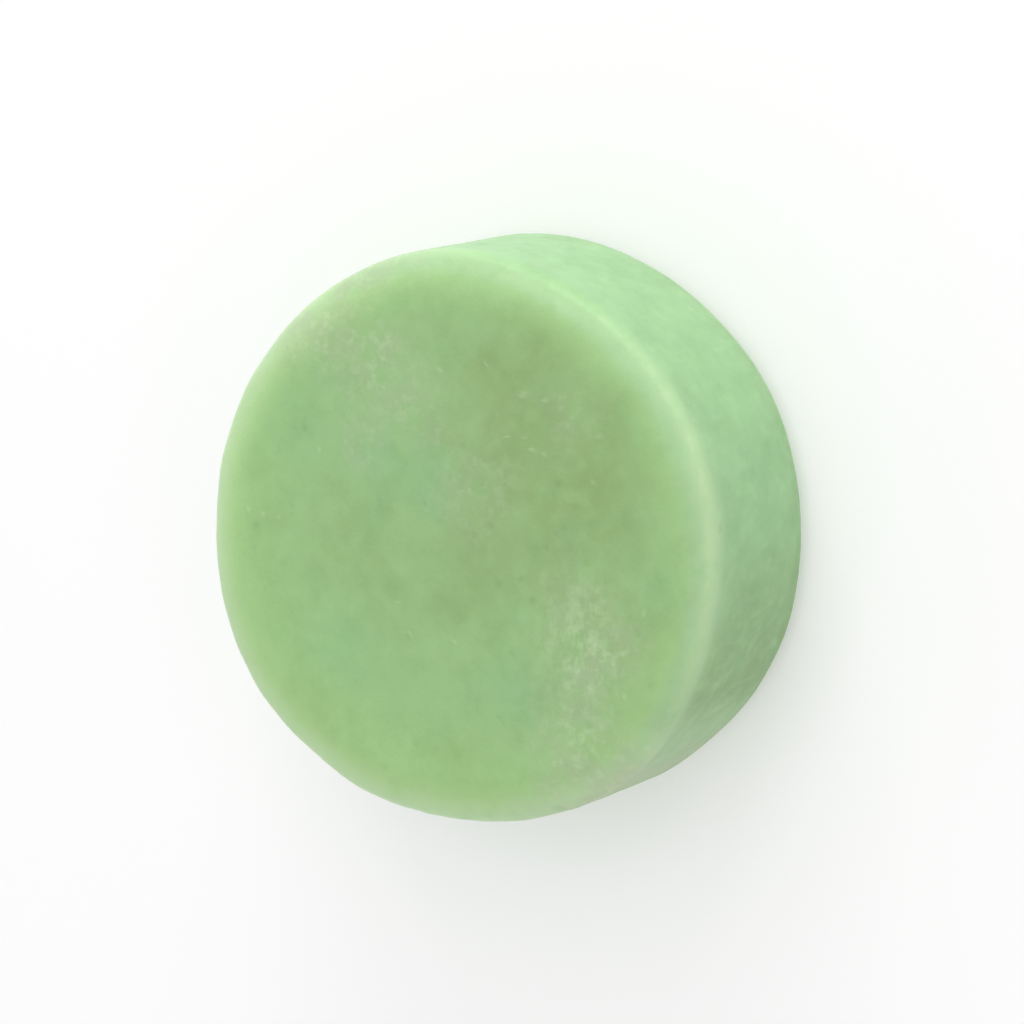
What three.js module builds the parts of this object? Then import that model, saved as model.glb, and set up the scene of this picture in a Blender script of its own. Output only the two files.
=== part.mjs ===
// A shaving soap puck: one solid cake of hard soap, about 78 g, sized to drop into a lather mug.
// It lies flat. +Z is the axis that the cake is round about, and the origin is the centre of its underside.
// All lengths are in millimetres and all angles in degrees.
import * as THREE from 'three';

// Driving dimensions
const DIAMETER = 64;
const THICKNESS = 23.5;
const SHOULDER_WIDTH = 5; // the soft band between each flat face and its corner, measured across the face
const SHOULDER_SLOPE = 28; // how far that band has turned away from the face where the corner starts
const CORNER_RADIUS = 1.8; // the tight corner between a shoulder and the side wall

// Facets
const FACETS_AROUND = 96;
const SHOULDER_STEPS = 4;
const CORNER_STEPS = 5;

// Soap
const SOAP_COLOUR = 0x9cc48a;
const SOAP_ROUGHNESS = 0.5;

const slope = THREE.MathUtils.degToRad(SHOULDER_SLOPE);
const wallRadius = DIAMETER / 2;
const shoulderRadius = SHOULDER_WIDTH / Math.sin(slope);
const shoulderDrop = shoulderRadius * (1 - Math.cos(slope));
const cornerRun = CORNER_RADIUS * (1 - Math.sin(slope));
const flatRadius = wallRadius - cornerRun - SHOULDER_WIDTH;

// Points on the arc about (centreX, centreY) whose outward normal turns from one angle to another,
// each angle measured from the axis of the cake.
function arc(centreX, centreY, radius, fromAngle, toAngle, steps) {
  const points = [];
  for (let i = 0; i <= steps; i += 1) {
    const angle = THREE.MathUtils.lerp(fromAngle, toAngle, i / steps);
    points.push(new THREE.Vector2(centreX + radius * Math.sin(angle), centreY + radius * Math.cos(angle)));
  }
  return points;
}

// Half of the cake's section, from the rim of its upper flat face down to its side wall.
// Heights count down from the flat face, so that both faces take the same edge.
function edgeOutline() {
  const shoulder = arc(flatRadius, -shoulderRadius, shoulderRadius, 0, slope, SHOULDER_STEPS);
  const cornerDepth = shoulderDrop + CORNER_RADIUS * Math.cos(slope);
  const corner = arc(wallRadius - CORNER_RADIUS, -cornerDepth, CORNER_RADIUS, slope, Math.PI / 2, CORNER_STEPS);
  return [...shoulder, ...corner.slice(1)];
}

function soapPuck() {
  const edge = edgeOutline();
  const lowerEdge = edge.map((point) => new THREE.Vector2(point.x, -point.y));
  const upperEdge = edge.map((point) => new THREE.Vector2(point.x, THICKNESS + point.y)).reverse();
  const underside = new THREE.Vector2(0, 0);
  const top = new THREE.Vector2(0, THICKNESS);
  const geometry = new THREE.LatheGeometry([underside, ...lowerEdge, ...upperEdge, top], FACETS_AROUND);
  geometry.rotateX(Math.PI / 2);

  const soap = new THREE.MeshStandardMaterial({ color: SOAP_COLOUR, roughness: SOAP_ROUGHNESS, metalness: 0 });
  const mesh = new THREE.Mesh(geometry, soap);
  mesh.name = 'soap_puck';
  return mesh;
}

const part = new THREE.Group();
part.add(soapPuck());

export default part;
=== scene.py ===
"""A bare puck of hard shaving soap on a pale floor.

The cake is one solid of soap, round about +Z and lying flat. It takes its diameter and thickness from the
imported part, and adds what a mould, a knife and a shelf leave on real soap: a rim that isn't quite round,
faces that aren't quite flat, a worn corner, air pits, grains, a scuff, a nick, and a dry pale bloom.
"""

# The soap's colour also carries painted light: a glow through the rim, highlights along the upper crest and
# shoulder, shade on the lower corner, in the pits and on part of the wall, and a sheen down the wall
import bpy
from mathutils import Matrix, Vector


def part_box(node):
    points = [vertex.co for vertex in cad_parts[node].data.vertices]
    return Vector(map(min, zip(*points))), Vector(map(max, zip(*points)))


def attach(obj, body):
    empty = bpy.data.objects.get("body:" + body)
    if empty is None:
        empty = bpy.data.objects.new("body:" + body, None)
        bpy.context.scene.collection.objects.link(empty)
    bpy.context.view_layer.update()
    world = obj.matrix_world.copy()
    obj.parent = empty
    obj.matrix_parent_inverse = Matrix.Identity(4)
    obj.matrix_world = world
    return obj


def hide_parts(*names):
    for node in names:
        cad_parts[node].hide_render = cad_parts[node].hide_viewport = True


bl_info = {
    "name": "Shaving Soap Puck",
    "version": (1, 0, 0),
    "blender": (4, 5, 0),
    "location": "3D View > Sidebar > Soap Puck",
    "description": "Makes a bare cake of shaving soap and a soft studio round it",
    "category": "Object",
}

import math
import random
from collections import namedtuple

import bpy
from mathutils import Matrix, Vector, kdtree, noise

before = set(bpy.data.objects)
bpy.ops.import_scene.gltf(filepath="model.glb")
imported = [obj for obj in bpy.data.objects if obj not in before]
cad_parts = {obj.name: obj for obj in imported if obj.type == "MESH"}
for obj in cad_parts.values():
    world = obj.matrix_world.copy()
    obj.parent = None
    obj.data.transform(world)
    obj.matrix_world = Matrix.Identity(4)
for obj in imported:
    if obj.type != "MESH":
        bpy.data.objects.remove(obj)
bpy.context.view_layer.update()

NODE = "soap_puck"
BODY = "root"
LOWEST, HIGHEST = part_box(NODE)
MM = 0.001

# How finely the cake's surface is cut up
CELLS_ACROSS_FACE = 128
SHOULDER_ROWS = 13
CORNER_ROWS = 8
WALL_ROWS = 40

# How far along its turn the tight corner has its crest
CREST_SHARE = 0.35

# How the rim departs from a circle: how many lobes, how far each swells, and the direction of its first one
Lobe = namedtuple("Lobe", "count swell_mm towards_deg")
RIM_LOBES = (
    Lobe(2, 0.48, 94),
    Lobe(3, 0.25, -24),
    Lobe(4, 0.18, 13),
    Lobe(5, 0.16, -15),
)

# Where one end of the wall is worn flat, or swells if the depth is under 0. It fades towards the other end.
Flat = namedtuple("Flat", "towards_deg reach_deg depth_mm")
LOWER_FLATS = (
    Flat(-156, 15, 0.72),
    Flat(-122, 12, -0.36),
    Flat(-173, 7, -0.17),
)
UPPER_FLATS = (
    Flat(97, 15, -0.45),
    Flat(140, 10, -0.2),
    Flat(126, 5, 0.25),
    Flat(-178, 6, 0.2),
)

# Broad patches on the upper face, by their place in millimetres from its middle
Patch = namedtuple("Patch", "x_mm y_mm reach_mm strength")
OLIVE_PATCHES = (
    Patch(2, -13, 19, 0.4),
    Patch(8, -15, 9, 0.6),
    Patch(-12, -17, 7, 0.4),
    Patch(0, -21, 6, 0.5),
    Patch(16, -12, 6, 0.4),
    Patch(-3, -3, 8, 0.3),
    Patch(3, 12, 5, 0.45),
    Patch(-25, 6, 4, 0.45),
    Patch(-12, 24, 3, 0.45),
)
COOL_PATCHES = (
    Patch(7, 0, 3.5, 0.8),
    Patch(11, 5, 3.5, 0.7),
    Patch(-18, -4, 3.5, 0.8),
    Patch(-8, 17, 4.5, 0.6),
    Patch(19, 15, 5, 0.7),
    Patch(-11, -24, 3, 0.6),
)
CHALK_PATCHES = (
    Patch(-15, -15, 5, 0.85),
    Patch(-21, -9, 5, 0.5),
    Patch(-8, -14, 4, 0.3),
    Patch(-28, -9, 5, 0.9),
    Patch(17, 0, 4.5, 0.6),
    Patch(14, 7, 3.5, 0.5),
    Patch(23, 3, 3.5, 0.6),
    Patch(6, -6, 6, 0.5),
    Patch(10, -19, 3, 0.5),
    Patch(26, 9, 4, 0.7),
)
SCUFF = Patch(-14.0, -13.0, 6, 1.0)
SCUFF_DIRECTION = Vector((0.95, -0.32, 0.0))

# How fast the scuff fades along that direction and across it, against its reach
SCUFF_ALONG = 0.95
SCUFF_ACROSS = 1.3

NICK_TOWARDS = math.radians(-173)

# Patches round the rim, by direction: dry bloom round the upper rim, and down the wall a grey bloom that is
# partly dusty soap and partly painted sheen
RimPatch = namedtuple("RimPatch", "towards_deg reach_deg strength")
RIM_BLOOM = (
    RimPatch(-163, 16, 1.0),
    RimPatch(10, 22, 1.0),
    RimPatch(-100, 30, 0.25),
)
WALL_BLOOM_AND_PAINTED_SHEEN = (
    RimPatch(-162, 13, 1.0),
    RimPatch(3, 12, 0.5),
)
# Painted shade down part of the wall, below the crest
PAINTED_SHADE_ON_WALL = (
    RimPatch(-133, 13, 1.0),
    RimPatch(-114, 10, 0.35),
)
# Where the painted highlight along the upper crest is held back
HELD_BACK_CREST_HIGHLIGHT = (
    RimPatch(-40, 30, 1.0),
    RimPatch(-140, 16, 0.38),
    RimPatch(2, 12, 0.4),
)
# Where a narrow painted highlight runs along the upper crest
PAINTED_GLINT_ON_CREST = (
    RimPatch(-92, 42, 1.0),
    RimPatch(-164, 13, 1.0),
)
# Where a painted highlight lies on the outer shoulder, inside the crest
PAINTED_HIGHLIGHT_ON_SHOULDER = (
    RimPatch(-35, 35, 1.0),
    RimPatch(-165, 15, 0.9),
)

# The direction of the rim that light from the far side glows through
GLOW_TOWARDS = math.radians(110)

# Pale grains of unmixed soap base that stand a little proud of the upper face
Grain = namedtuple("Grain", "x_mm y_mm radius_mm")
FACE_GRAINS = (
    Grain(13.2, -14.6, 0.55),
    Grain(12.0, -17.1, 0.45),
    Grain(7.3, -13.7, 0.4),
    Grain(6.4, -15.0, 0.35),
    Grain(8.6, 22.4, 0.35),
    Grain(18.3, -5.2, 0.4),
    Grain(21.5, 1.5, 0.35),
)

# How far a grain stands out, by its radius, and how many more are scattered all over
GRAIN_RISE = 0.2
STRAY_GRAINS = 45

# The shares of pits and stray grains that are on the upper face, and on either face
ON_TOP = 0.45
PITS_ON_FACES = 0.7
GRAINS_ON_FACES = 0.65

# The stage, in metres
Softbox = namedtuple("Softbox", "name size place")
OVERHEAD = Softbox("overhead", (1.0, 1.0), (0.5, -0.3, 1.2))
KEY = Softbox("key", (0.8, 0.4), (0.95, -0.3, 0.26))
FLOOR_WIDTH = 8.0
AIM_RIGHT = 0.9 * MM
AIM_UP = 1.8 * MM

# How steeply upwards the horizon's tone ends, and the sky's own tone starts; 1 is straight up
HORIZON_UP_TO = 0.05
SKY_FROM = 0.35


# ---------------------------------------------------------------------------------------------------------
# Settings that a user would change
# ---------------------------------------------------------------------------------------------------------

class CakeShape(bpy.types.PropertyGroup):
    diameter: bpy.props.FloatProperty(
        name="Diameter", description="Across the side wall",
        default=HIGHEST.x - LOWEST.x, min=0.02, unit="LENGTH", subtype="DISTANCE")
    thickness: bpy.props.FloatProperty(
        name="Thickness", description="Between the two flat faces",
        default=HIGHEST.z - LOWEST.z, min=0.008, unit="LENGTH", subtype="DISTANCE")
    shoulder_width: bpy.props.FloatProperty(
        name="Shoulder width", description="The soft band between a flat face and its corner",
        default=5 * MM, min=0.001, unit="LENGTH", subtype="DISTANCE")
    shoulder_slope: bpy.props.FloatProperty(
        name="Shoulder slope", description="How far the shoulder has turned where the corner starts",
        default=math.radians(28), min=0.1, max=1.2, unit="ROTATION", subtype="ANGLE")
    corner_radius: bpy.props.FloatProperty(
        name="Corner radius", description="The tight corner between a shoulder and the side wall",
        default=1.8 * MM, min=0.0003, unit="LENGTH", subtype="DISTANCE")
    out_of_round: bpy.props.FloatProperty(
        name="Out of round", description="How strongly the rim's lobes show; 0 is a true circle",
        default=1.0, min=0.0, max=2.0, subtype="FACTOR")
    unevenness: bpy.props.FloatProperty(
        name="Unevenness", description="How far the surface wanders from true",
        default=0.13 * MM, min=0.0, max=0.001, unit="LENGTH", subtype="DISTANCE")
    pits: bpy.props.IntProperty(
        name="Air pits", description="How many shallow air pits are open on the surface",
        default=80, min=0, max=1000)
    pit_radius: bpy.props.FloatProperty(
        name="Pit radius", description="Radius of a large air pit",
        default=0.8 * MM, min=0.0001, max=0.002, unit="LENGTH", subtype="DISTANCE")
    seed: bpy.props.IntProperty(
        name="Seed", description="Another seed gives another cake from the same mould", default=7)


class SoapFinish(bpy.types.PropertyGroup):
    mint: bpy.props.FloatVectorProperty(
        name="Mint", description="The soap's main colour",
        subtype="COLOR", size=4, min=0.0, max=1.0, default=(0.33, 0.55, 0.24, 1))
    side: bpy.props.FloatVectorProperty(
        name="Side", description="The cooler colour of the side wall",
        subtype="COLOR", size=4, min=0.0, max=1.0, default=(0.305, 0.542, 0.26, 1))
    olive: bpy.props.FloatVectorProperty(
        name="Olive", description="The duller colour in broad patches of the face",
        subtype="COLOR", size=4, min=0.0, max=1.0, default=(0.285, 0.45, 0.175, 1))
    cool: bpy.props.FloatVectorProperty(
        name="Cool", description="The bluer green of small patches",
        subtype="COLOR", size=4, min=0.0, max=1.0, default=(0.285, 0.53, 0.245, 1))
    # The rim colour is laid as a painted glow of light through the soap's rim
    rim: bpy.props.FloatVectorProperty(
        name="Rim", description="The clear, paler green where the soap thins towards its corner",
        subtype="COLOR", size=4, min=0.0, max=1.0, default=(0.395, 0.655, 0.235, 1))
    # Haze is also laid down parts of the wall, partly dusty soap and partly painted sheen
    haze: bpy.props.FloatVectorProperty(
        name="Haze", description="A thin bloom that greys the skin",
        subtype="COLOR", size=4, min=0.0, max=1.0, default=(0.44, 0.495, 0.35, 1))
    # Used for the painted highlight along the upper crest and shoulder, and for the scuff's streaks
    crest: bpy.props.FloatVectorProperty(
        name="Crest", description="The pale colour along the upper corner",
        subtype="COLOR", size=4, min=0.0, max=1.0, default=(0.52, 0.73, 0.41, 1))
    # Also the colour of a narrow painted highlight along the upper crest
    chalk: bpy.props.FloatVectorProperty(
        name="Chalk", description="Dry, pale soap in flecks, grains and on the worn corner",
        subtype="COLOR", size=4, min=0.0, max=1.0, default=(0.57, 0.74, 0.45, 1))
    translucency: bpy.props.FloatProperty(
        name="Translucency", description="How much light travels through the soap below its skin",
        default=0.35, min=0.0, max=1.0, subtype="FACTOR")
    light_depth: bpy.props.FloatProperty(
        name="Light depth", description="How far that light travels",
        default=2.5 * MM, min=0.0, unit="LENGTH", subtype="DISTANCE")
    roughness: bpy.props.FloatProperty(
        name="Roughness", description="0 is a wet shine and 1 is chalk",
        default=0.5, min=0.0, max=1.0, subtype="FACTOR")


class Studio(bpy.types.PropertyGroup):
    floor_colour: bpy.props.FloatVectorProperty(
        name="Floor", description="The pale floor's colour",
        subtype="COLOR", size=4, min=0.0, max=1.0, default=(0.72, 0.72, 0.72, 1))
    floor_glow: bpy.props.FloatProperty(
        name="Floor glow", description="Light from below a translucent floor, which softens the shadow",
        default=0.3, min=0.0)
    sky: bpy.props.FloatProperty(
        name="Sky", description="Brightness of the even light from above", default=0.7, min=0.0)
    horizon: bpy.props.FloatProperty(
        name="Horizon", description="Brightness of the sky where it meets the far edge of the floor",
        default=0.81, min=0.0)
    overhead: bpy.props.FloatProperty(
        name="Overhead light", description="Power of the large soft light above",
        default=3.5, min=0.0, unit="POWER")
    key: bpy.props.FloatProperty(
        name="Key light", description="Power of the large soft light at one side",
        default=5.4, min=0.0, unit="POWER")
    camera_distance: bpy.props.FloatProperty(
        name="Camera distance", description="From the middle of the cake",
        default=0.48, min=0.1, unit="LENGTH", subtype="DISTANCE")
    camera_tilt: bpy.props.FloatProperty(
        name="Camera tilt", description="Away from straight above the cake",
        default=math.radians(33), unit="ROTATION", subtype="ANGLE")
    camera_roll: bpy.props.FloatProperty(
        name="Camera roll", description="Turns the picture, so that the side wall shows at the right",
        default=math.radians(105.6), unit="ROTATION", subtype="ANGLE")
    lens: bpy.props.FloatProperty(
        name="Lens", description="Focal length on a 36 mm wide sensor", default=152.4, min=20.0)


# ---------------------------------------------------------------------------------------------------------
# The cake's surface
# ---------------------------------------------------------------------------------------------------------

def smooth_step(low, high, value):
    share = min(1.0, max(0.0, (value - low) / (high - low)))
    return share * share * (3.0 - 2.0 * share)


def bell(distance, reach):
    return math.exp(-((distance / reach) ** 2))


class Section:
    """The cake's section: where a flat face ends, and the shoulder and corner between it and the wall."""

    def __init__(self, shape):
        self.wall = shape.diameter / 2
        self.thickness = shape.thickness
        self.slope = shape.shoulder_slope
        self.corner = shape.corner_radius
        self.shoulder = shape.shoulder_width / math.sin(self.slope)
        self.shoulder_drop = self.shoulder * (1 - math.cos(self.slope))
        self.flat = self.wall - self.corner * (1 - math.sin(self.slope)) - shape.shoulder_width
        self.edge_depth = self.shoulder_drop + self.corner * math.cos(self.slope)

    def shoulder_point(self, turn):
        """(radius, depth below the flat face) where the shoulder has turned by that angle."""
        return self.flat + self.shoulder * math.sin(turn), self.shoulder * (1 - math.cos(turn))

    def corner_point(self, turn):
        """(radius, depth below the flat face) where the corner has turned by that angle."""
        radius = self.wall - self.corner * (1 - math.sin(turn))
        return radius, self.edge_depth - self.corner * math.cos(turn)

    def edge(self):
        """(radius, depth, turn) in steps from the flat face's rim to the top of the wall."""
        steps = []
        for i in range(SHOULDER_ROWS + 1):
            turn = self.slope * i / SHOULDER_ROWS
            steps.append((*self.shoulder_point(turn), turn))
        for i in range(1, CORNER_ROWS + 1):
            turn = self.slope + (math.pi / 2 - self.slope) * i / CORNER_ROWS
            steps.append((*self.corner_point(turn), turn))
        return steps

    def rings(self):
        """(radius, height, outward, upward) from the underside's rim, over the wall, to the top's rim."""
        edge = self.edge()
        lower = [(radius, depth, math.sin(turn), -math.cos(turn)) for radius, depth, turn in edge]
        upper = [
            (radius, self.thickness - depth, math.sin(turn), math.cos(turn))
            for radius, depth, turn in reversed(edge)
        ]
        wall_height = self.thickness - 2 * self.edge_depth
        wall = [
            (self.wall, self.edge_depth + wall_height * i / WALL_ROWS, 1.0, 0.0)
            for i in range(1, WALL_ROWS)
        ]
        return lower + wall + upper

    def crest(self):
        """(radius, depth) of the corner's crest, which is a little nearer the face than the wall."""
        return self.corner_point(self.slope + (math.pi / 2 - self.slope) * CREST_SHARE)


def angle_between(first, second):
    return abs((first - second + math.pi) % (2 * math.pi) - math.pi)


def flats_depth(flats, angle):
    return sum(flat.depth_mm * bell(angle_between(angle, math.radians(flat.towards_deg)),
                                    math.radians(flat.reach_deg)) for flat in flats)


def rim_swell(angle, share_up):
    """How far the wall swells out of a circle, in metres, in a direction and at a share of its height."""
    swell = sum(lobe.swell_mm * math.cos(lobe.count * (angle - math.radians(lobe.towards_deg)))
                for lobe in RIM_LOBES)
    swell -= flats_depth(LOWER_FLATS, angle) * (1 - share_up)
    swell -= flats_depth(UPPER_FLATS, angle) * share_up
    return swell * MM


def disc_point(across, along):
    """Maps a square from -1 to 1 onto a disc of radius 1, with equal steps round its rim."""
    if across == 0 and along == 0:
        return 0.0, 0.0
    if abs(across) > abs(along):
        angle = math.pi / 4 * along / across
        return across * math.cos(angle), across * math.sin(angle)
    angle = math.pi / 2 - math.pi / 4 * across / along
    return along * math.cos(angle), along * math.sin(angle)


class CakeMesh:
    """Places, outward directions and quads of a plain cake, before any mark is made on it."""

    def __init__(self, section):
        self.section = section
        self.places = []
        self.normals = []
        self.quads = []
        self.around = 4 * CELLS_ACROSS_FACE
        rings = section.rings()
        for radius, height, outward, upward in rings:
            self.add_ring(radius, height, outward, upward)
        for row in range(len(rings) - 1):
            self.join_rings(row, row + 1)
        self.add_face(0, 0.0, -1)
        self.add_face(len(rings) - 1, section.thickness, 1)

    def add_ring(self, radius, height, outward, upward):
        for step in range(self.around):
            angle = math.pi * (2 * step / self.around - 0.25)
            direction = Vector((math.cos(angle), math.sin(angle), 0.0))
            self.places.append(direction * radius + Vector((0, 0, height)))
            self.normals.append(direction * outward + Vector((0, 0, upward)))

    def join_rings(self, below, above):
        for step in range(self.around):
            following = (step + 1) % self.around
            self.quads.append((
                below * self.around + step, below * self.around + following,
                above * self.around + following, above * self.around + step))

    def add_face(self, ring, height, upward):
        """Fills a flat face with a grid whose border is that ring."""
        cells = CELLS_ACROSS_FACE
        grid = {}
        for i in range(cells + 1):
            for j in range(cells + 1):
                on_rim = self.rim_step(i, j, cells)
                if on_rim is not None:
                    grid[i, j] = ring * self.around + on_rim % self.around
                    continue
                x, y = disc_point(2 * i / cells - 1, 2 * j / cells - 1)
                grid[i, j] = len(self.places)
                self.places.append(Vector((x * self.section.flat, y * self.section.flat, height)))
                self.normals.append(Vector((0, 0, upward)))
        for i in range(cells):
            for j in range(cells):
                quad = (grid[i, j], grid[i + 1, j], grid[i + 1, j + 1], grid[i, j + 1])
                self.quads.append(quad if upward > 0 else quad[::-1])

    @staticmethod
    def rim_step(i, j, cells):
        """Which step round the rim a grid corner stands on, or None inside the face."""
        if i == cells:
            return j
        if j == cells:
            return 2 * cells - i
        if i == 0:
            return 3 * cells - j
        if j == 0:
            return 3 * cells + i
        return None


# ---------------------------------------------------------------------------------------------------------
# Marks on the surface
# ---------------------------------------------------------------------------------------------------------

Spot = namedtuple("Spot", "place radius depth")


def random_face_place(draw, section, height):
    angle = draw.uniform(-math.pi, math.pi)
    radius = section.wall * 0.97 * math.sqrt(draw.random())
    return Vector((radius * math.cos(angle), radius * math.sin(angle), height))


def random_wall_place(draw, section):
    angle = draw.uniform(-math.pi, math.pi)
    height = draw.uniform(0.1, 0.9) * section.thickness
    return Vector((section.wall * math.cos(angle), section.wall * math.sin(angle), height))


def random_place(draw, section, on_faces):
    """A place on the upper face, the underside or the wall, as the shares say."""
    lot = draw.random()
    if lot < ON_TOP:
        return random_face_place(draw, section, section.thickness)
    if lot < on_faces:
        return random_face_place(draw, section, 0.0)
    return random_wall_place(draw, section)


def air_pits(shape, section):
    """Shallow air pits, most of them on the upper face."""
    draw = random.Random(shape.seed)
    pits = []
    for _ in range(shape.pits):
        place = random_place(draw, section, PITS_ON_FACES)
        radius = shape.pit_radius * draw.uniform(0.5, 1.0)
        pits.append(Spot(place, radius, radius * draw.uniform(0.05, 0.14)))
    return pits


def pale_grains(shape, section):
    """The grains placed on the upper face, and some strays all over."""
    draw = random.Random(shape.seed + 1)
    grains = []
    for grain in FACE_GRAINS:
        place = Vector((grain.x_mm * MM, grain.y_mm * MM, section.thickness))
        radius = grain.radius_mm * MM
        grains.append(Spot(place, radius, radius * GRAIN_RISE))
    for _ in range(STRAY_GRAINS):
        place = random_place(draw, section, GRAINS_ON_FACES)
        radius = draw.uniform(0.22, 0.38) * MM
        grains.append(Spot(place, radius, radius * GRAIN_RISE))
    return grains


class SpotFinder:
    """Finds how deep a place is inside the nearest of many small round spots."""

    def __init__(self, spots):
        self.spots = spots
        self.tree = kdtree.KDTree(max(1, len(spots)))
        for index, spot in enumerate(spots):
            self.tree.insert(spot.place, index)
        self.tree.balance()

    def at(self, place):
        """(share from the spot's edge to its middle, depth in metres)"""
        if not self.spots:
            return 0.0, 0.0
        _, index, distance = self.tree.find(place)
        spot = self.spots[index]
        if distance >= spot.radius:
            return 0.0, 0.0
        share = (1.0 - (distance / spot.radius) ** 2) ** 2
        return share, share * spot.depth


def around(place, patch):
    """How strongly a patch of the rim covers the direction of a place."""
    angle = math.atan2(place.y, place.x)
    away = angle_between(angle, math.radians(patch.towards_deg))
    return patch.strength * bell(away, math.radians(patch.reach_deg))


def cover_of(place, patches):
    """How strongly several patches of the rim cover the direction of a place."""
    return sum(around(place, patch) for patch in patches)


def far_side(place):
    """1 where light glows through the rim the most, and 0 on the opposite side."""
    return 0.5 + 0.5 * math.cos(math.atan2(place.y, place.x) - GLOW_TOWARDS)


class Marks:
    """What handling has done to the cake, as a height and as masks, place by place, and where light and
    shade are painted into its colour.
    """

    def __init__(self, shape, section):
        self.section = section
        self.unevenness = shape.unevenness
        self.shift = Vector((shape.seed * 3.1, shape.seed * 1.7, shape.seed * 0.9))
        self.pits = SpotFinder(air_pits(shape, section))
        self.grains = SpotFinder(pale_grains(shape, section))
        self.crest_radius, self.crest_depth = section.crest()

    def wander(self, place, size_mm, octaves):
        """Smooth noise from about -1 to 1 whose features are about that size."""
        return noise.fractal(place / (size_mm * MM) + self.shift, 1.0, 2.0, octaves)

    def depth_from_face(self, place):
        return min(place.z, self.section.thickness - place.z)

    def from_crest(self, place):
        """Distance in the section to the nearer corner's crest."""
        radius = math.hypot(place.x, place.y)
        return math.hypot(radius - self.crest_radius, self.depth_from_face(place) - self.crest_depth)

    def edge_glow(self, place):
        """Painted glow of light through the rim: up to 1 on the outer shoulder, fading across the face and
        down the wall, and strongest on the far side.
        """
        far = far_side(place)
        strength = 0.4 + 0.6 * far
        reach = (1.9 + 2.1 * far) * MM
        shoulder = self.section.wall - 2.5 * MM
        inward = max(0.0, shoulder - math.hypot(place.x, place.y))
        over_face = strength * math.exp(-inward / reach)
        if place.z < self.section.thickness / 2:
            up_wall = max(0.0, place.z - 1 * MM)
            return 0.4 * over_face * math.exp(-up_wall / (1.2 * MM))
        down_wall = max(0.0, self.section.thickness - place.z - 1.5 * MM)
        return over_face * math.exp(-down_wall / (3.5 * MM))

    def edge_line(self, place):
        """The painted highlight along the upper crest, wider on the far side."""
        upper = smooth_step(0.3, 0.8, place.z / self.section.thickness)
        reach = (1.7 + 1.4 * far_side(place)) * MM
        return upper * bell(self.from_crest(place), reach)

    def painted_shoulder_highlight(self, place):
        """A painted highlight on the outer shoulder, paler than the crest."""
        upper = smooth_step(0.6, 0.9, place.z / self.section.thickness)
        inward = self.section.wall - math.hypot(place.x, place.y)
        middle = 1.4 * MM
        reach = 1.1 * MM
        return upper * cover_of(place, PAINTED_HIGHLIGHT_ON_SHOULDER) * bell(inward - middle, reach)

    def painted_lower_corner_shade(self, place):
        """Painted shade on the lower corner, which turns down towards the floor."""
        lower = 1 - smooth_step(0.1, 0.4, place.z / self.section.thickness)
        return lower * bell(self.from_crest(place), 1.5 * MM)

    def side(self, place):
        """1 on the wall and over its corners, and 0 on the flat faces."""
        inward = self.section.wall - math.hypot(place.x, place.y)
        far = far_side(place)
        starts = (3.6 - 2.2 * far) * MM
        full = (1.2 - 1.1 * far) * MM
        return smooth_step(starts, full, inward)

    def painted_wall_shade(self, place):
        """Painted shade on part of the wall, below the crest."""
        below_crest = smooth_step(0.95, 0.78, place.z / self.section.thickness)
        return min(1.0, self.side(place) * cover_of(place, PAINTED_SHADE_ON_WALL) * below_crest)

    def patches(self, place, patches):
        """How strongly broad patches of the upper face cover a place."""
        share_up = place.z / self.section.thickness
        if share_up < 0.5:
            return 0.0
        wobble = 2.2 * MM * self.wander(place, 5, 3)
        total = 0.0
        for patch in patches:
            distance = math.hypot(place.x - patch.x_mm * MM, place.y - patch.y_mm * MM) + wobble
            total += patch.strength * bell(distance, patch.reach_mm * MM)
        return min(1.0, total) * smooth_step(0.8, 0.97, share_up)

    def scuff(self, place):
        """The patch of short dry streaks on the upper face."""
        if place.z < self.section.thickness * 0.95:
            return 0.0
        offset = place - Vector((SCUFF.x_mm * MM, SCUFF.y_mm * MM, place.z))
        along = offset.dot(SCUFF_DIRECTION)
        across = offset.dot(Vector((-SCUFF_DIRECTION.y, SCUFF_DIRECTION.x, 0)))
        return bell(math.hypot(along * SCUFF_ALONG, across * SCUFF_ACROSS), SCUFF.reach_mm * MM)

    def chalk(self, place):
        """Dry bloom on the face and round the upper rim."""
        outside_crest = max(0.0, self.from_crest(place) - 0.5 * MM)
        near_rim = bell(outside_crest, 3.2 * MM)
        on_lower_half = place.z < self.section.thickness / 2
        cover = 0.35 if on_lower_half else cover_of(place, RIM_BLOOM)
        return min(1.0, cover * near_rim + self.patches(place, CHALK_PATCHES))

    def dust_and_painted_sheen(self, place):
        """A grey bloom on parts of the wall, partly dusty soap and partly painted sheen."""
        below_crest = smooth_step(0.98, 0.9, place.z / self.section.thickness)
        return self.side(place) * below_crest * cover_of(place, WALL_BLOOM_AND_PAINTED_SHEEN)

    def bare(self, place):
        """Where the painted highlight along the upper crest is held back, leaving the soap's own colour."""
        return min(1.0, cover_of(place, HELD_BACK_CREST_HIGHLIGHT))

    def painted_crest_glint(self, place):
        """Where the upper crest has crumbled into small pale chips."""
        # Where a narrow painted highlight runs along the upper crest.
        return min(1.0, cover_of(place, PAINTED_GLINT_ON_CREST))

    def nick(self, place):
        """A small chip out of the upper corner."""
        angle = math.atan2(place.y, place.x)
        along = angle_between(angle, NICK_TOWARDS) * self.section.wall
        if place.z < self.section.thickness / 2 or along > 3 * MM:
            return 0.0
        return bell(math.hypot(along, self.from_crest(place)), 0.8 * MM)

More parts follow.
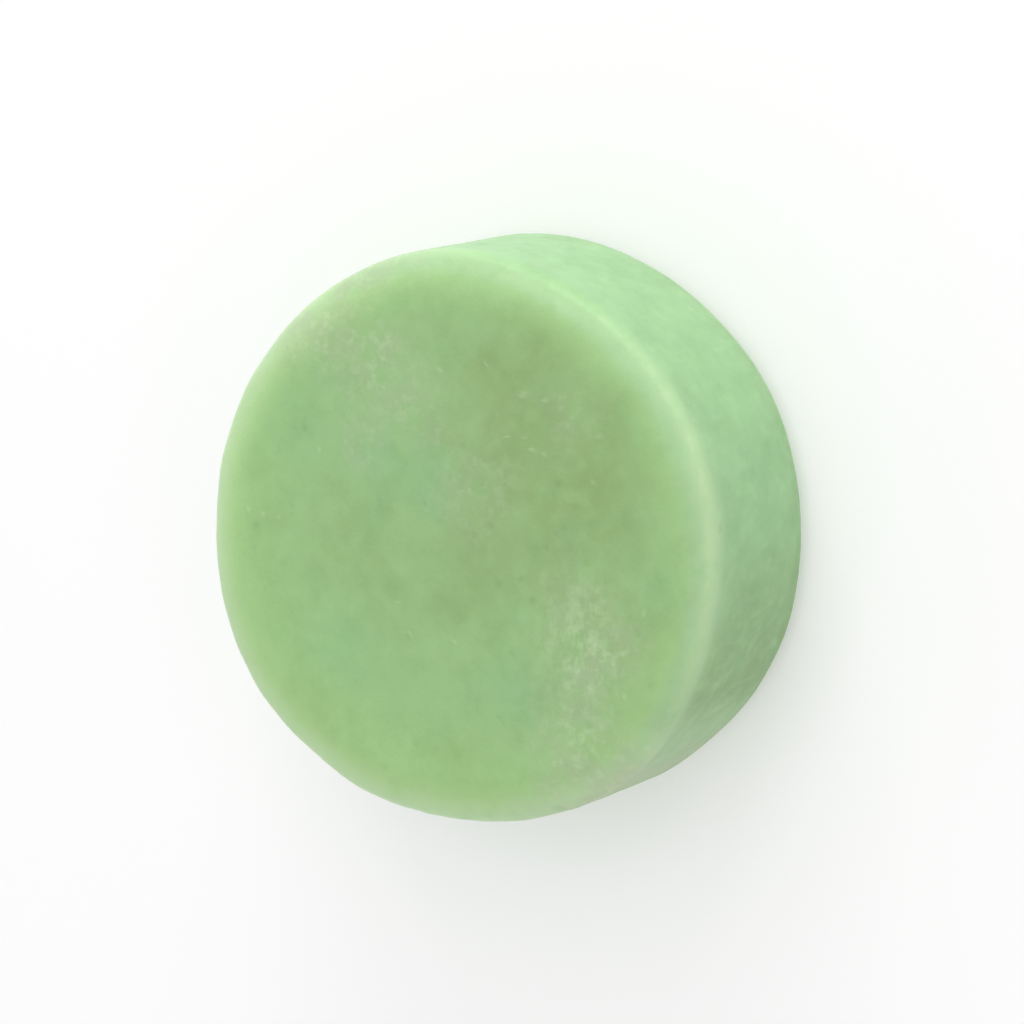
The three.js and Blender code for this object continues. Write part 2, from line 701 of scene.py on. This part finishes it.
    def height(self, place):
        """How far the skin stands out from a true cake, in metres."""
        broad = self.wander(place, 15, 2)
        middling = self.wander(place, 4, 2)
        fine = self.wander(place, 1.2, 2)
        rise = self.unevenness * (broad + 0.28 * middling + 0.07 * fine)
        worn = 0.5 + 0.5 * self.wander(place, 5, 2)
        crest_rise = (0.06 - 0.2 * worn) * MM
        nick_depth = 0.32 * MM
        rise += self.edge_line(place) * crest_rise
        rise -= nick_depth * self.nick(place)
        rise -= self.pits.at(place)[1]
        rise += self.grains.at(place)[1]
        return rise

    def masks(self, place):
        """The named masks that the soap's material reads."""
        return {
            "edge_glow": self.edge_glow(place),
            "edge_line": self.edge_line(place),
            "bare": self.bare(place),
            "painted_crest_glint": self.painted_crest_glint(place),
            "painted_shoulder_highlight": self.painted_shoulder_highlight(place),
            "far": far_side(place),
            "painted_lower_corner_shade": self.painted_lower_corner_shade(place),
            "dust_and_painted_sheen": self.dust_and_painted_sheen(place),
            "side": self.side(place),
            "painted_wall_shade": self.painted_wall_shade(place),
            "olive": self.patches(place, OLIVE_PATCHES),
            "cool": self.patches(place, COOL_PATCHES),
            "chalk": self.chalk(place),
            "scuff": self.scuff(place),
            "pit": max(self.pits.at(place)[0], self.nick(place)),
            "grain": self.grains.at(place)[0],
        }


def build_cake(shape):
    section = Section(shape)
    plain = CakeMesh(section)
    marks = Marks(shape, section)
    places = []
    masks = {}
    for place, normal in zip(plain.places, plain.normals):
        moved = place + normal * marks.height(place)
        swell = rim_swell(math.atan2(place.y, place.x), place.z / section.thickness)
        spread = 1.0 + shape.out_of_round * swell / section.wall
        places.append((moved.x * spread, moved.y * spread, max(0.0, moved.z)))
        for name, value in marks.masks(place).items():
            masks.setdefault(name, []).append(value)

    mesh = bpy.data.meshes.new("soap_cake")
    mesh.from_pydata(places, [], plain.quads)
    for name, values in masks.items():
        mesh.attributes.new(name, "FLOAT", "POINT").data.foreach_set("value", values)
    mesh.shade_smooth()
    mesh.update()
    cake = bpy.data.objects.new("soap_cake", mesh)
    bpy.context.collection.objects.link(cake)
    return cake


# ---------------------------------------------------------------------------------------------------------
# Node helpers
# ---------------------------------------------------------------------------------------------------------

def feed(tree, socket, value):
    """Links a socket to another one, or sets its value."""
    if isinstance(value, bpy.types.NodeSocket):
        tree.links.new(value, socket)
    else:
        socket.default_value = value


def add_node(tree, kind, inputs=None, **settings):
    """Adds a node, with settings as attributes and inputs by name or number."""
    made = tree.nodes.new(kind)
    for name, value in settings.items():
        setattr(made, name, value)
    for key, value in (inputs or {}).items():
        feed(tree, made.inputs[key], value)
    return made


def calculate(tree, operation, *terms, clamp=False):
    made = add_node(tree, "ShaderNodeMath", dict(enumerate(terms)), operation=operation, use_clamp=clamp)
    return made.outputs["Value"]


def mix_colour(tree, share, first, second, blend="MIX"):
    made = add_node(
        tree, "ShaderNodeMix", {0: share, 6: first, 7: second}, data_type="RGBA", blend_type=blend)
    return made.outputs[2]


def read_mask(tree, name):
    return add_node(tree, "ShaderNodeAttribute", attribute_name=name).outputs["Fac"]


def arrange(tree):
    """Lays the nodes out in columns, each node left of everything that it feeds."""
    columns = {}

    def column(node):
        if node not in columns:
            fed = [link.to_node for output in node.outputs for link in output.links]
            columns[node] = 1 + max((column(other) for other in fed), default=-1)
        return columns[node]

    rows = {}
    for node in tree.nodes:
        row = rows.get(column(node), 0)
        node.location = (-220 * column(node), -240 * row)
        rows[column(node)] = row + 1


def new_group(name, inputs, outputs):
    """A shader node group with named sockets: inputs are (name, socket type, default)."""
    group = bpy.data.node_groups.new(name, "ShaderNodeTree")
    for socket_name, kind, default in inputs:
        socket = group.interface.new_socket(name=socket_name, in_out="INPUT", socket_type=kind)
        if default is not None:
            socket.default_value = default
    for socket_name, kind in outputs:
        group.interface.new_socket(name=socket_name, in_out="OUTPUT", socket_type=kind)
    source = add_node(group, "NodeGroupInput")
    sink = add_node(group, "NodeGroupOutput")
    return group, source.outputs, sink.inputs


def use_group(tree, group, inputs):
    return add_node(tree, "ShaderNodeGroup", inputs, node_tree=group).outputs


def cloud_group():
    """Soft noise as a mask: Size is its clouds' width, and it fades in from Low to High."""
    group, given, result = new_group(
        "Soft Clouds",
        [("Position", "NodeSocketVector", None), ("Size", "NodeSocketFloat", 0.01),
         ("Detail", "NodeSocketFloat", 3.0), ("Low", "NodeSocketFloat", 0.35),
         ("High", "NodeSocketFloat", 0.65)],
        [("Mask", "NodeSocketFloat")])
    clouds = add_node(group, "ShaderNodeTexNoise", {
        "Vector": given["Position"], "Scale": calculate(group, "DIVIDE", 1.0, given["Size"]),
        "Detail": given["Detail"]})
    ranged = add_node(group, "ShaderNodeMapRange", {
        "Value": clouds.outputs["Fac"], "From Min": given["Low"], "From Max": given["High"]},
        interpolation_type="SMOOTHSTEP")
    feed(group, result["Mask"], ranged.outputs["Result"])
    arrange(group)
    return group


def speck_group():
    """Small round specks: Spacing is between their cells, Share is how many cells hold one."""
    group, given, result = new_group(
        "Specks",
        [("Position", "NodeSocketVector", None), ("Spacing", "NodeSocketFloat", 0.003),
         ("Radius", "NodeSocketFloat", 0.0003), ("Share", "NodeSocketFloat", 0.3)],
        [("Mask", "NodeSocketFloat")])
    cells = add_node(group, "ShaderNodeTexVoronoi", {
        "Vector": given["Position"], "Scale": calculate(group, "DIVIDE", 1.0, given["Spacing"])})
    distance = calculate(group, "MULTIPLY", cells.outputs["Distance"], given["Spacing"])
    inside = add_node(group, "ShaderNodeMapRange", {
        "Value": distance, "From Min": given["Radius"], "From Max": 0.0}, interpolation_type="SMOOTHSTEP")
    channels = add_node(group, "ShaderNodeSeparateColor", {"Color": cells.outputs["Color"]})
    chosen = calculate(group, "LESS_THAN", channels.outputs[0], given["Share"])
    feed(group, result["Mask"], calculate(group, "MULTIPLY", inside.outputs["Result"], chosen))
    arrange(group)
    return group


def shared_group(name, make):
    """The node group of that name, made the first time it is asked for."""
    return bpy.data.node_groups.get(name) or make()


# ---------------------------------------------------------------------------------------------------------
# Materials
# ---------------------------------------------------------------------------------------------------------

def new_material(name):
    material = bpy.data.materials.new(name)
    material.use_nodes = True
    tree = material.node_tree
    tree.nodes.clear()
    return material, tree


def scaled(colour, share):
    return (*(min(1.0, channel * share) for channel in colour[:3]), 1.0)


# What the soap's colour is multiplied by where it is darkest: in its mottling, in the painted shade on the
# lower corner and in the pits, and in the painted shade on the wall
MOTTLE_AND_PAINTED_SHADE_TINT = (0.78, 0.82, 0.76, 1.0)
PAINTED_WALL_SHADE_TINT = (0.75, 0.72, 0.59, 1.0)


class SoapLook:
    """The soap's material, built up in layers from the broadest variation to the smallest."""

    def __init__(self, finish):
        self.finish = finish
        self.material, self.tree = new_material("Hard Soap")
        self.clouds = shared_group("Soft Clouds", cloud_group)
        self.specks = shared_group("Specks", speck_group)
        self.position = add_node(self.tree, "ShaderNodeTexCoord").outputs["Object"]
        self.colour = finish.mint

    def cloud(self, size_mm, low=0.35, high=0.65, detail=3.0, position=None):
        return use_group(self.tree, self.clouds, {
            "Position": position or self.position, "Size": size_mm * MM, "Low": low, "High": high,
            "Detail": detail})["Mask"]

    def speck(self, spacing_mm, radius_mm, share, position=None):
        return use_group(self.tree, self.specks, {
            "Position": position or self.position, "Spacing": spacing_mm * MM, "Radius": radius_mm * MM,
            "Share": share})["Mask"]

    def mask(self, name):
        return read_mask(self.tree, name)

    def times(self, *factors):
        product = factors[0]
        for factor in factors[1:]:
            product = calculate(self.tree, "MULTIPLY", product, factor)
        return product

    def plus(self, first, second):
        return calculate(self.tree, "ADD", first, second, clamp=True)

    def layer(self, share, colour):
        """Lays a colour over what is there, as far as the share says."""
        self.colour = mix_colour(self.tree, share, self.colour, colour)

    def stretched(self, direction, factor):
        """The position with its part along a direction shrunk, so that a texture runs along it."""
        direction = direction.normalized()
        along = add_node(self.tree, "ShaderNodeVectorMath", {
            0: self.position, 1: direction}, operation="DOT_PRODUCT").outputs["Value"]
        excess = add_node(self.tree, "ShaderNodeVectorMath", {
            0: direction * (1 / factor - 1), "Scale": along}, operation="SCALE").outputs["Vector"]
        return add_node(self.tree, "ShaderNodeVectorMath", {
            0: self.position, 1: excess}, operation="ADD").outputs["Vector"]

    def build(self):
        self.lay_broad_colour()
        self.lay_edges()
        dry = self.lay_chalk()
        self.lay_grains()
        roughness = self.roughness(dry)
        bump = add_node(self.tree, "ShaderNodeBump", {
            "Height": self.relief(dry), "Strength": 0.4, "Distance": 0.06 * MM})
        finish = self.finish
        soap = add_node(self.tree, "ShaderNodeBsdfPrincipled", {
            "Base Color": self.colour, "Roughness": roughness, "Normal": bump.outputs["Normal"],
            "Metallic": 0.0, "IOR": 1.47, "Subsurface Weight": finish.translucency,
            "Subsurface Radius": (0.9, 1.0, 0.6), "Subsurface Scale": finish.light_depth,
            "Coat Weight": self.sheen(), "Coat Roughness": 0.38})
        add_node(self.tree, "ShaderNodeOutputMaterial", {"Surface": soap.outputs["BSDF"]})
        arrange(self.tree)
        return self.material

    def darken(self, share, shade=MOTTLE_AND_PAINTED_SHADE_TINT):
        """Multiplies what is there by a shade, as far as the share says."""
        self.colour = mix_colour(self.tree, share, self.colour, shade, "MULTIPLY")

    def lay_broad_colour(self):
        finish = self.finish
        olive_clouds = self.times(self.cloud(11, low=0.42, high=0.75), 0.35)
        olive = self.plus(olive_clouds, self.mask("olive"))
        self.layer(self.times(olive, self.cloud(4, low=0.05, high=0.5)), finish.olive)
        cool_clouds = self.times(self.cloud(6, low=0.5, high=0.75), 0.25)
        cool = self.plus(cool_clouds, self.times(self.mask("cool"), 0.8))
        self.layer(cool, finish.cool)
        # Painted glow of light through the rim, in the rim colour
        self.layer(self.times(self.mask("edge_glow"), self.cloud(3.2, low=0.0, high=0.42)), finish.rim)
        self.layer(self.times(self.mask("side"), 0.95), finish.side)
        # Painted shade on part of the wall
        painted_wall_shade = self.times(self.mask("painted_wall_shade"), self.cloud(4, low=0.2, high=0.55), 0.9)
        self.darken(painted_wall_shade, PAINTED_WALL_SHADE_TINT)
        self.darken(self.times(self.cloud(3.6, low=0.44, high=0.72), 0.3))
        self.darken(self.times(self.mask("side"), self.cloud(5, low=0.42, high=0.66), 0.36))
        self.layer(self.times(self.cloud(2.2, low=0.48, high=0.75), 0.25), scaled(finish.mint, 1.2))
        self.darken(self.times(self.cloud(1.1, low=0.5, high=0.72), 0.22))
        upright = self.stretched(Vector((0, 0, 1)), 2.0)
        drips = self.cloud(1.5, low=0.5, high=0.75, detail=4.0, position=upright)
        self.layer(self.times(self.mask("side"), drips, 0.2), scaled(finish.side, 1.3))

    def lay_edges(self):
        finish = self.finish
        # Painted highlight along the upper crest, stronger on the far side and held back in places
        line = self.mask("edge_line")
        kept = calculate(self.tree, "SUBTRACT", 1.0, self.mask("bare"))
        strength = calculate(self.tree, "MULTIPLY_ADD", self.mask("far"), 0.3, 0.7)
        self.layer(self.times(line, kept, strength, self.cloud(4.5, low=0.0, high=0.5)), finish.crest)
        # Painted highlight on the outer shoulder
        shoulder = self.times(self.mask("painted_shoulder_highlight"), self.cloud(2.5, low=0.1, high=0.6), 0.55)
        self.layer(shoulder, finish.crest)
        # Painted shade on the lower corner
        self.darken(self.times(self.mask("painted_lower_corner_shade"), 0.8))
        # A grey bloom down parts of the wall, partly dusty soap and partly painted sheen
        dust_and_painted_sheen = self.times(self.mask("dust_and_painted_sheen"), self.cloud(3.0, low=0.15, high=0.5), 0.65)
        self.layer(dust_and_painted_sheen, scaled(finish.haze, 1.1))
        # A narrow painted highlight along the upper crest, broken up by noise
        narrow_line = calculate(self.tree, "POWER", line, 12.0)
        crest_glint = self.times(narrow_line, self.mask("painted_crest_glint"), self.cloud(1.4, low=0.35, high=0.62), 0.4)
        self.layer(crest_glint, finish.chalk)

    def lay_chalk(self):
        """Dry bloom and scuffed streaks; returns how dry the skin is."""
        finish = self.finish
        bloom = self.mask("chalk")
        haze = self.times(bloom, self.cloud(4.0, low=0.3, high=0.6), 0.4)
        self.layer(haze, finish.haze)
        flecks = self.times(bloom, self.cloud(1.0, low=0.46, high=0.7, detail=4.0), 0.34)
        along_scuff = self.stretched(SCUFF_DIRECTION, 1.6)
        dots = self.times(self.speck(1.1, radius_mm=0.6, share=0.6, position=along_scuff), 0.9)
        scratches = self.cloud(1.0, low=0.44, high=0.62, detail=4.0, position=along_scuff)
        rubs = calculate(self.tree, "MAXIMUM", dots, scratches)
        broken = self.cloud(2.4, low=0.22, high=0.5, position=along_scuff)
        streaks = self.times(self.mask("scuff"), broken, rubs)
        self.layer(self.times(streaks, 0.38), finish.crest)
        self.layer(flecks, finish.chalk)
        return self.plus(self.plus(flecks, self.times(streaks, 0.4)), haze)

    def lay_grains(self):
        finish = self.finish
        small_grains = self.times(self.speck(2.8, radius_mm=0.34, share=0.25), 0.35)
        grain = calculate(self.tree, "MAXIMUM", self.mask("grain"), small_grains)
        self.layer(self.times(grain, 0.4), finish.chalk)
        # Darker in the air pits, the nick and the pinholes: painted shade in these hollows
        pinholes = self.speck(3.1, radius_mm=0.28, share=0.22)
        pinholes = self.times(pinholes, self.plus(self.mask("chalk"), 0.35))
        self.darken(self.plus(self.times(self.mask("pit"), 0.45), self.times(pinholes, 0.9)))

    def roughness(self, dry):
        """Chalky where the soap is dry, smoother on the skin."""
        smoothest = self.finish.roughness - 0.05
        skin = calculate(self.tree, "MULTIPLY_ADD", self.cloud(1.6, low=0.3, high=0.7), 0.1, smoothest)
        # Rougher along the crest where its painted highlight is held back
        held_back_crest_line = self.times(self.mask("edge_line"), self.mask("bare"))
        dusty = calculate(self.tree, "MULTIPLY_ADD", self.mask("dust_and_painted_sheen"), 0.3, skin)
        worn = calculate(self.tree, "MULTIPLY_ADD", held_back_crest_line, 0.35, dusty)
        return calculate(self.tree, "MULTIPLY_ADD", dry, 0.4, worn, clamp=True)

    def sheen(self):
        """A thin waxy sheen, which the grey bloom on the wall hides."""
        return calculate(self.tree, "MULTIPLY_ADD", self.mask("dust_and_painted_sheen"), -0.28, 0.3, clamp=True)

    def relief(self, dry):
        """Skin texture too fine for the mesh."""
        fine = self.times(self.cloud(0.45, low=0.2, high=0.8, detail=4.0), 0.5)
        crumbly = self.cloud(0.7, low=0.4, high=0.7, detail=4.0)
        return calculate(self.tree, "MULTIPLY_ADD", dry, crumbly, fine)


def floor_material(studio):
    material, tree = new_material("Pale Floor")
    position = add_node(tree, "ShaderNodeTexCoord").outputs["Object"]
    mottle = use_group(tree, shared_group("Soft Clouds", cloud_group), {
        "Position": position, "Size": 0.12, "Low": 0.3, "High": 0.7})["Mask"]
    colour = mix_colour(tree, mottle, studio.floor_colour, scaled(studio.floor_colour, 0.985))
    matt = add_node(tree, "ShaderNodeBsdfPrincipled", {
        "Base Color": colour, "Roughness": 0.9, "Specular IOR Level": 0.2,
        "Emission Color": (1, 1, 1, 1), "Emission Strength": studio.floor_glow})
    add_node(tree, "ShaderNodeOutputMaterial", {"Surface": matt.outputs["BSDF"]})
    arrange(tree)
    return material


# ---------------------------------------------------------------------------------------------------------
# The stage
# ---------------------------------------------------------------------------------------------------------

def look_at(place, target):
    return Matrix.Translation(place) @ (target - place).to_track_quat("-Z", "Y").to_matrix().to_4x4()


def add_floor(studio):
    half = FLOOR_WIDTH / 2
    corners = [(-half, -half, 0), (half, -half, 0), (half, half, 0), (-half, half, 0)]
    mesh = bpy.data.meshes.new("floor")
    mesh.from_pydata(corners, [], [(0, 1, 2, 3)])
    floor = bpy.data.objects.new("floor", mesh)
    bpy.context.collection.objects.link(floor)
    mesh.materials.append(floor_material(studio))


def add_softbox(softbox, power, target):
    light = bpy.data.lights.new(softbox.name, "AREA")
    light.shape = "RECTANGLE"
    light.size, light.size_y = softbox.size
    light.energy = power
    lamp = bpy.data.objects.new(softbox.name, light)
    bpy.context.collection.objects.link(lamp)
    lamp.matrix_world = look_at(Vector(softbox.place), target)


def add_sky(studio):
    """Even light from above that brightens to the floor's own tone towards the horizon."""
    world = bpy.data.worlds.new("Studio")
    world.use_nodes = True
    tree = world.node_tree
    direction = add_node(tree, "ShaderNodeTexCoord").outputs["Generated"]
    height = add_node(tree, "ShaderNodeSeparateXYZ", {"Vector": direction}).outputs["Z"]
    above = add_node(tree, "ShaderNodeMapRange", {
        "Value": height, "From Min": HORIZON_UP_TO, "From Max": SKY_FROM}, interpolation_type="SMOOTHSTEP")
    horizon = (studio.horizon, studio.horizon, studio.horizon, 1.0)
    sky = (studio.sky, studio.sky, studio.sky, 1.0)
    colour = mix_colour(tree, above.outputs["Result"], horizon, sky)
    feed(tree, tree.nodes["Background"].inputs["Color"], colour)
    arrange(tree)
    bpy.context.scene.world = world


def add_camera(studio, middle):
    """Looks down on the cake from -Y, turned so that the near wall is at the right of the picture."""
    back = Vector((0, -math.sin(studio.camera_tilt), math.cos(studio.camera_tilt)))
    level_right = Vector((1, 0, 0))
    level_up = back.cross(level_right)
    turn = studio.camera_roll
    right = level_right * math.cos(turn) - level_up * math.sin(turn)
    up = level_right * math.sin(turn) + level_up * math.cos(turn)
    aim = middle + right * AIM_RIGHT + up * AIM_UP
    camera = bpy.data.objects.new("camera", bpy.data.cameras.new("camera"))
    camera.data.lens = studio.lens
    camera.data.sensor_width = 36.0
    camera.data.clip_start = 0.01
    bpy.context.collection.objects.link(camera)
    axes = Matrix((right, up, back)).transposed().to_4x4()
    camera.matrix_world = Matrix.Translation(aim + back * studio.camera_distance) @ axes
    bpy.context.scene.camera = camera


# ---------------------------------------------------------------------------------------------------------
# The add-on
# ---------------------------------------------------------------------------------------------------------

class SOAPPUCK_OT_make_cake(bpy.types.Operator):
    """Make the cake of soap with its marks and its finish"""

    bl_idname = "soap_puck.make_cake"
    bl_label = "Make the Cake"

    def execute(self, context):
        scene = context.scene
        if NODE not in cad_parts:
            raise RuntimeError("the packed part has no node named " + NODE)
        cake = build_cake(scene.cake_shape)
        cake.data.materials.append(SoapLook(scene.soap_finish).build())
        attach(cake, BODY)
        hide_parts(NODE)
        return {"FINISHED"}


class SOAPPUCK_OT_set_stage(bpy.types.Operator):
    """Set the pale floor, the soft lights and the camera round the cake"""

    bl_idname = "soap_puck.set_stage"
    bl_label = "Set the Stage"

    def execute(self, context):
        scene = context.scene
        studio = scene.soap_studio
        middle = (LOWEST + HIGHEST) / 2
        add_floor(studio)
        add_sky(studio)
        add_softbox(OVERHEAD, studio.overhead, middle)
        add_softbox(KEY, studio.key, middle)
        add_camera(studio, middle)
        scene.view_settings.view_transform = "Standard"
        return {"FINISHED"}


class SOAPPUCK_PT_panel(bpy.types.Panel):
    """The soap puck's settings and steps"""

    bl_idname = "SOAPPUCK_PT_panel"
    bl_label = "Shaving Soap Puck"
    bl_space_type = "VIEW_3D"
    bl_region_type = "UI"
    bl_category = "Soap Puck"

    def draw(self, context):
        scene = context.scene
        steps = (
            (SOAPPUCK_OT_make_cake.bl_idname, (scene.cake_shape, scene.soap_finish)),
            (SOAPPUCK_OT_set_stage.bl_idname, (scene.soap_studio,)),
        )
        for step, settings in steps:
            box = self.layout.box()
            for group in settings:
                for name in group.__annotations__:
                    box.prop(group, name)
            box.operator(step)


CLASSES = (CakeShape, SoapFinish, Studio, SOAPPUCK_OT_make_cake, SOAPPUCK_OT_set_stage, SOAPPUCK_PT_panel)


def register():
    for cls in CLASSES:
        bpy.utils.register_class(cls)
    bpy.types.Scene.cake_shape = bpy.props.PointerProperty(type=CakeShape)
    bpy.types.Scene.soap_finish = bpy.props.PointerProperty(type=SoapFinish)
    bpy.types.Scene.soap_studio = bpy.props.PointerProperty(type=Studio)


def unregister():
    del bpy.types.Scene.soap_studio
    del bpy.types.Scene.soap_finish
    del bpy.types.Scene.cake_shape
    for cls in reversed(CLASSES):
        bpy.utils.unregister_class(cls)


def main():
    register()
    bpy.ops.soap_puck.make_cake()
    bpy.ops.soap_puck.set_stage()


if __name__ == "__main__":
    main()
